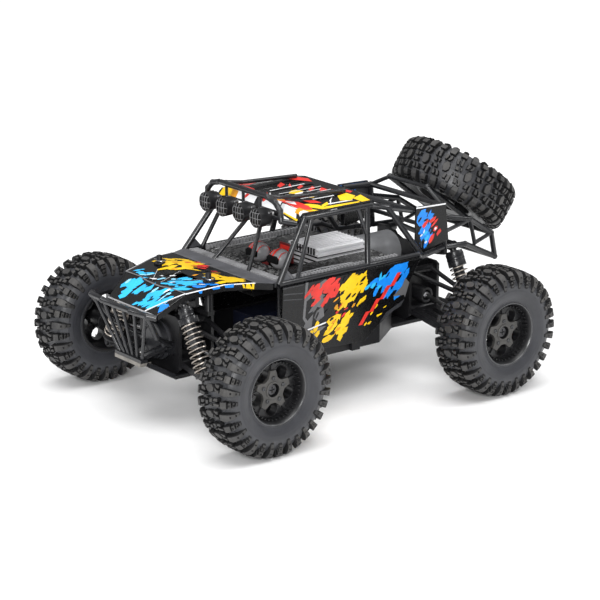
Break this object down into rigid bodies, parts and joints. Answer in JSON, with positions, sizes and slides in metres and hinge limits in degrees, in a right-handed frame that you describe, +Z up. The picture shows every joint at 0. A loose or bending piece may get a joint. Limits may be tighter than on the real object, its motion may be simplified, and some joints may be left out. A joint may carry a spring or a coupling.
{
  "type": "radio controlled buggy",
  "caption": "Four-wheel-drive desert buggy model with tube cage, double-wishbone coil-over suspension, steering front wheels, roof lamps and spare wheel.",
  "frame": {"origin": "on the ground, below the centre of the buggy's bounding box", "axes": "+Z up, the nose points along -Y, the driver's left is +X"},
  "size_m": [0.2486, 0.3718, 0.1752],
  "materials": {
    "moulded_black": "satin black moulded nylon",
    "cage_black": "semi-gloss black moulded tube",
    "panel_print": "printed glossy panel",
    "hood_print": "printed glossy panel",
    "roof_print": "printed glossy panel",
    "tyre_rubber": "matt dusty rubber",
    "rim_black": "satin black",
    "spring_steel": "nickel plated wire",
    "shaft_steel": "turned steel",
    "motor_metal": "cast fins and drawn can",
    "electronics_case": "shrink wrap and moulded case",
    "spare_rubber": "matt dusty rubber"
  },
  "bodies": {
    "chassis": {"chassis_tub": "moulded_black", "gearbox_cases": "moulded_black", "shock_towers": "moulded_black", "front_bumper": "cage_black", "cabin_cage": "cage_black", "rear_cage": "cage_black", "hood_panel": "hood_print", "roof_panel": "roof_print", "side_panels": "panel_print", "light_bar": "cage_black", "cockpit_tray": "moulded_black", "motor": "motor_metal", "electronics": "electronics_case", "spare_wheel": "spare_rubber"},
    "centre_shaft": {"centre_shaft": "shaft_steel"},
    "steering_rack": {"steering_rack": "moulded_black"},
    "tie_rod_left": {"tie_rod_left": "moulded_black"},
    "tie_rod_right": {"tie_rod_right": "moulded_black"},
    "front_left_lower_arm": {"front_left_lower_arm": "moulded_black"},
    "front_left_upper_arm": {"front_left_upper_arm": "moulded_black"},
    "front_left_carrier": {"front_left_carrier": "moulded_black"},
    "front_left_knuckle": {"front_left_knuckle": "moulded_black"},
    "front_left_wheel": {"front_left_stub_axle": "shaft_steel", "front_left_rim": "rim_black", "front_left_tyre": "tyre_rubber"},
    "front_left_half_shaft": {"front_left_half_shaft": "shaft_steel"},
    "front_left_shock_body": {"front_left_shock_body": "moulded_black", "front_left_spring": "spring_steel"},
    "front_left_shock_rod": {"front_left_shock_rod": "shaft_steel"},
    "front_right_lower_arm": {"front_right_lower_arm": "moulded_black"},
    "front_right_upper_arm": {"front_right_upper_arm": "moulded_black"},
    "front_right_carrier": {"front_right_carrier": "moulded_black"},
    "front_right_knuckle": {"front_right_knuckle": "moulded_black"},
    "front_right_wheel": {"front_right_stub_axle": "shaft_steel", "front_right_rim": "rim_black", "front_right_tyre": "tyre_rubber"},
    "front_right_half_shaft": {"front_right_half_shaft": "shaft_steel"},
    "front_right_shock_body": {"front_right_shock_body": "moulded_black", "front_right_spring": "spring_steel"},
    "front_right_shock_rod": {"front_right_shock_rod": "shaft_steel"},
    "rear_left_lower_arm": {"rear_left_lower_arm": "moulded_black"},
    "rear_left_upper_arm": {"rear_left_upper_arm": "moulded_black"},
    "rear_left_carrier": {"rear_left_carrier": "moulded_black"},
    "rear_left_wheel": {"rear_left_stub_axle": "shaft_steel", "rear_left_rim": "rim_black", "rear_left_tyre": "tyre_rubber"},
    "rear_left_half_shaft": {"rear_left_half_shaft": "shaft_steel"},
    "rear_left_shock_body": {"rear_left_shock_body": "moulded_black", "rear_left_spring": "spring_steel"},
    "rear_left_shock_rod": {"rear_left_shock_rod": "shaft_steel"},
    "rear_right_lower_arm": {"rear_right_lower_arm": "moulded_black"},
    "rear_right_upper_arm": {"rear_right_upper_arm": "moulded_black"},
    "rear_right_carrier": {"rear_right_carrier": "moulded_black"},
    "rear_right_wheel": {"rear_right_stub_axle": "shaft_steel", "rear_right_rim": "rim_black", "rear_right_tyre": "tyre_rubber"},
    "rear_right_half_shaft": {"rear_right_half_shaft": "shaft_steel"},
    "rear_right_shock_body": {"rear_right_shock_body": "moulded_black", "rear_right_spring": "spring_steel"},
    "rear_right_shock_rod": {"rear_right_shock_rod": "shaft_steel"}
  },
  "joints": [
    {"name": "centre_shaft_spin", "type": "hinge", "parent": "chassis", "child": "centre_shaft", "pos_m": [0, -0.0236, 0.048], "axis": [0, 1, 0], "continuous": true},
    {"name": "rack_slide", "type": "slide", "parent": "chassis", "child": "steering_rack", "axis": [1, 0, 0], "range_m": [-0.0076, 0.0076]},
    {"name": "front_left_suspension", "type": "hinge", "parent": "chassis", "child": "front_left_lower_arm", "pos_m": [0.021, -0.1331, 0.046], "axis": [0, -1, 0], "range_deg": [-12, 18], "stiffness_Nm_per_rad": 0.9, "springref_deg": -6.99},
    {"name": "front_left_upper_arm_swing", "type": "hinge", "parent": "chassis", "child": "front_left_upper_arm", "pos_m": [0.02, -0.1331, 0.077], "axis": [0, -1, 0], "range_deg": [-12.5, 18.5]},
    {"name": "front_left_carrier_pivot", "type": "hinge", "parent": "front_left_lower_arm", "child": "front_left_carrier", "pos_m": [0.077, -0.1331, 0.037], "axis": [0, -1, 0], "range_deg": [-18.5, 12.5]},
    {"name": "front_left_shaft_swing", "type": "hinge", "parent": "chassis", "child": "front_left_half_shaft", "pos_m": [0.026, -0.1331, 0.058], "axis": [0, -1, 0], "range_deg": [-12.5, 18.5]},
    {"name": "front_left_shock_lean", "type": "hinge", "parent": "chassis", "child": "front_left_shock_body", "pos_m": [0.0325, -0.1507, 0.097], "axis": [0, -1, 0], "range_deg": [-4.56, 6.69]},
    {"name": "front_left_shock_stroke", "type": "slide", "parent": "front_left_shock_body", "child": "front_left_shock_rod", "axis": [-0.4829, 0, 0.8757], "range_m": [-0.00764, 0.01135], "deforming": ["front_left_spring"]},
    {"name": "steer_left", "type": "hinge", "parent": "front_left_carrier", "child": "front_left_knuckle", "pos_m": [0.082, -0.1331, 0.049], "axis": [0, 0, 1], "range_deg": [-22, 22]},
    {"name": "tie_rod_left_swing", "type": "hinge", "parent": "steering_rack", "child": "tie_rod_left", "pos_m": [0.026, -0.1131, 0.058], "axis": [0, -1, 0], "range_deg": [-12.5, 18.5]},
    {"name": "front_left_wheel_spin", "type": "hinge", "parent": "front_left_knuckle", "child": "front_left_wheel", "pos_m": [0.10575, -0.1331, 0.049], "axis": [1, 0, 0], "continuous": true},
    {"name": "front_right_suspension", "type": "hinge", "parent": "chassis", "child": "front_right_lower_arm", "pos_m": [-0.021, -0.1331, 0.046], "axis": [0, 1, 0], "range_deg": [-12, 18], "stiffness_Nm_per_rad": 0.9, "springref_deg": -6.99},
    {"name": "front_right_upper_arm_swing", "type": "hinge", "parent": "chassis", "child": "front_right_upper_arm", "pos_m": [-0.02, -0.1331, 0.077], "axis": [0, 1, 0], "range_deg": [-12.5, 18.5]},
    {"name": "front_right_carrier_pivot", "type": "hinge", "parent": "front_right_lower_arm", "child": "front_right_carrier", "pos_m": [-0.077, -0.1331, 0.037], "axis": [0, 1, 0], "range_deg": [-18.5, 12.5]},
    {"name": "front_right_shaft_swing", "type": "hinge", "parent": "chassis", "child": "front_right_half_shaft", "pos_m": [-0.026, -0.1331, 0.058], "axis": [0, 1, 0], "range_deg": [-12.5, 18.5]},
    {"name": "front_right_shock_lean", "type": "hinge", "parent": "chassis", "child": "front_right_shock_body", "pos_m": [-0.0325, -0.1507, 0.097], "axis": [0, 1, 0], "range_deg": [-4.56, 6.69]},
    {"name": "front_right_shock_stroke", "type": "slide", "parent": "front_right_shock_body", "child": "front_right_shock_rod", "axis": [0.4829, 0, 0.8757], "range_m": [-0.00764, 0.01135], "deforming": ["front_right_spring"]},
    {"name": "steer_right", "type": "hinge", "parent": "front_right_carrier", "child": "front_right_knuckle", "pos_m": [-0.082, -0.1331, 0.049], "axis": [0, 0, 1], "range_deg": [-22.5, 22.5]},
    {"name": "tie_rod_right_swing", "type": "hinge", "parent": "steering_rack", "child": "tie_rod_right", "pos_m": [-0.026, -0.1131, 0.058], "axis": [0, 1, 0], "range_deg": [-12.5, 18.5]},
    {"name": "front_right_wheel_spin", "type": "hinge", "parent": "front_right_knuckle", "child": "front_right_wheel", "pos_m": [-0.10575, -0.1331, 0.049], "axis": [1, 0, 0], "continuous": true},
    {"name": "rear_left_suspension", "type": "hinge", "parent": "chassis", "child": "rear_left_lower_arm", "pos_m": [0.021, 0.0859, 0.046], "axis": [0, -1, 0], "range_deg": [-12, 18], "stiffness_Nm_per_rad": 0.9, "springref_deg": -6.99},
    {"name": "rear_left_upper_arm_swing", "type": "hinge", "parent": "chassis", "child": "rear_left_upper_arm", "pos_m": [0.02, 0.0859, 0.077], "axis": [0, -1, 0], "range_deg": [-12.5, 18.5]},
    {"name": "rear_left_carrier_pivot", "type": "hinge", "parent": "rear_left_lower_arm", "child": "rear_left_carrier", "pos_m": [0.077, 0.0859, 0.037], "axis": [0, -1, 0], "range_deg": [-18.5, 12.5]},
    {"name": "rear_left_shaft_swing", "type": "hinge", "parent": "chassis", "child": "rear_left_half_shaft", "pos_m": [0.026, 0.0859, 0.058], "axis": [0, -1, 0], "range_deg": [-12.5, 18.5]},
    {"name": "rear_left_shock_lean", "type": "hinge", "parent": "chassis", "child": "rear_left_shock_body", "pos_m": [0.036, 0.1035, 0.097], "axis": [0, -1, 0], "range_deg": [-4.26, 6.24]},
    {"name": "rear_left_shock_stroke", "type": "slide", "parent": "rear_left_shock_body", "child": "rear_left_shock_rod", "axis": [-0.4371, 0, 0.8994], "range_m": [-0.00784, 0.01167], "deforming": ["rear_left_spring"]},
    {"name": "rear_left_wheel_spin", "type": "hinge", "parent": "rear_left_carrier", "child": "rear_left_wheel", "pos_m": [0.10575, 0.0859, 0.049], "axis": [1, 0, 0], "continuous": true},
    {"name": "rear_right_suspension", "type": "hinge", "parent": "chassis", "child": "rear_right_lower_arm", "pos_m": [-0.021, 0.0859, 0.046], "axis": [0, 1, 0], "range_deg": [-12, 18], "stiffness_Nm_per_rad": 0.9, "springref_deg": -6.99},
    {"name": "rear_right_upper_arm_swing", "type": "hinge", "parent": "chassis", "child": "rear_right_upper_arm", "pos_m": [-0.02, 0.0859, 0.077], "axis": [0, 1, 0], "range_deg": [-12.5, 18.5]},
    {"name": "rear_right_carrier_pivot", "type": "hinge", "parent": "rear_right_lower_arm", "child": "rear_right_carrier", "pos_m": [-0.077, 0.0859, 0.037], "axis": [0, 1, 0], "range_deg": [-18.5, 12.5]},
    {"name": "rear_right_shaft_swing", "type": "hinge", "parent": "chassis", "child": "rear_right_half_shaft", "pos_m": [-0.026, 0.0859, 0.058], "axis": [0, 1, 0], "range_deg": [-12.5, 18.5]},
    {"name": "rear_right_shock_lean", "type": "hinge", "parent": "chassis", "child": "rear_right_shock_body", "pos_m": [-0.036, 0.1035, 0.097], "axis": [0, 1, 0], "range_deg": [-4.26, 6.24]},
    {"name": "rear_right_shock_stroke", "type": "slide", "parent": "rear_right_shock_body", "child": "rear_right_shock_rod", "axis": [0.4371, 0, 0.8994], "range_m": [-0.00784, 0.01167], "deforming": ["rear_right_spring"]},
    {"name": "rear_right_wheel_spin", "type": "hinge", "parent": "rear_right_carrier", "child": "rear_right_wheel", "pos_m": [-0.10575, 0.0859, 0.049], "axis": [1, 0, 0], "continuous": true}
  ],
  "couplings": [
    {"joint": "front_left_upper_arm_swing", "follows": "front_left_suspension", "ratio": 1},
    {"joint": "front_left_carrier_pivot", "follows": "front_left_suspension", "ratio": -1},
    {"joint": "front_left_shaft_swing", "follows": "front_left_suspension", "ratio": 1},
    {"joint": "front_left_shock_lean", "follows": "front_left_suspension", "ratio": 0.355},
    {"joint": "front_left_shock_stroke", "follows": "front_left_suspension", "m_per_rad": 0.0355},
    {"joint": "tie_rod_left_swing", "follows": "front_left_suspension", "ratio": 1},
    {"joint": "front_right_upper_arm_swing", "follows": "front_right_suspension", "ratio": 1},
    {"joint": "front_right_carrier_pivot", "follows": "front_right_suspension", "ratio": -1},
    {"joint": "front_right_shaft_swing", "follows": "front_right_suspension", "ratio": 1},
    {"joint": "front_right_shock_lean", "follows": "front_right_suspension", "ratio": 0.355},
    {"joint": "front_right_shock_stroke", "follows": "front_right_suspension", "m_per_rad": 0.0355},
    {"joint": "tie_rod_right_swing", "follows": "front_right_suspension", "ratio": 1},
    {"joint": "rear_left_upper_arm_swing", "follows": "rear_left_suspension", "ratio": 1},
    {"joint": "rear_left_carrier_pivot", "follows": "rear_left_suspension", "ratio": -1},
    {"joint": "rear_left_shaft_swing", "follows": "rear_left_suspension", "ratio": 1},
    {"joint": "rear_left_shock_lean", "follows": "rear_left_suspension", "ratio": 0.33},
    {"joint": "rear_left_shock_stroke", "follows": "rear_left_suspension", "m_per_rad": 0.0365},
    {"joint": "rear_right_upper_arm_swing", "follows": "rear_right_suspension", "ratio": 1},
    {"joint": "rear_right_carrier_pivot", "follows": "rear_right_suspension", "ratio": -1},
    {"joint": "rear_right_shaft_swing", "follows": "rear_right_suspension", "ratio": 1},
    {"joint": "rear_right_shock_lean", "follows": "rear_right_suspension", "ratio": 0.33},
    {"joint": "rear_right_shock_stroke", "follows": "rear_right_suspension", "m_per_rad": 0.0365},
    {"joint": "steer_right", "follows": "steer_left", "ratio": 1},
    {"joint": "rack_slide", "follows": "steer_left", "m_per_rad": -0.0196}
  ]
}
